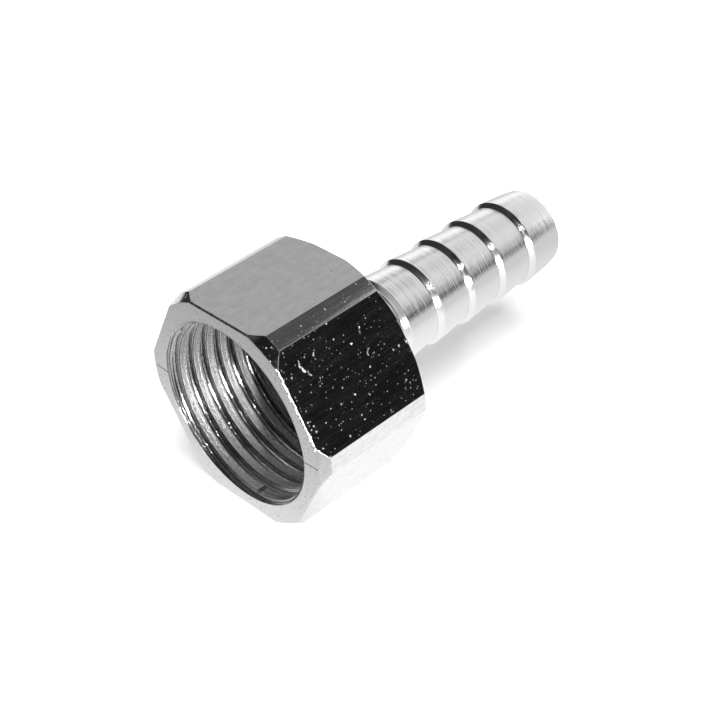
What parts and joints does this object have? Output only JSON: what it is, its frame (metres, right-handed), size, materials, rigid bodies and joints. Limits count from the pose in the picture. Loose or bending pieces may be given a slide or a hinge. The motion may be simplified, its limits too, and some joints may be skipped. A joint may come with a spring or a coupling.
{
  "type": "hose nipple",
  "caption": "Hexagon-headed hose nipple with an internal pipe thread at one end and a barbed tail for a hose at the other.",
  "frame": {"origin": "the middle of the mouth, on the nipple's axis and level with the front face of the hexagon", "axes": "+X along the axis from the mouth to the tip of the tail; +Z square to a flat of the hexagon, so the nipple lies on the opposite flat"},
  "size_m": [0.045, 0.0266, 0.024],
  "materials": {
    "plated_brass": "bright nickel plate over turned brass"
  },
  "bodies": {
    "root": {"hose_nipple": "plated_brass"}
  },
  "joints": []
}
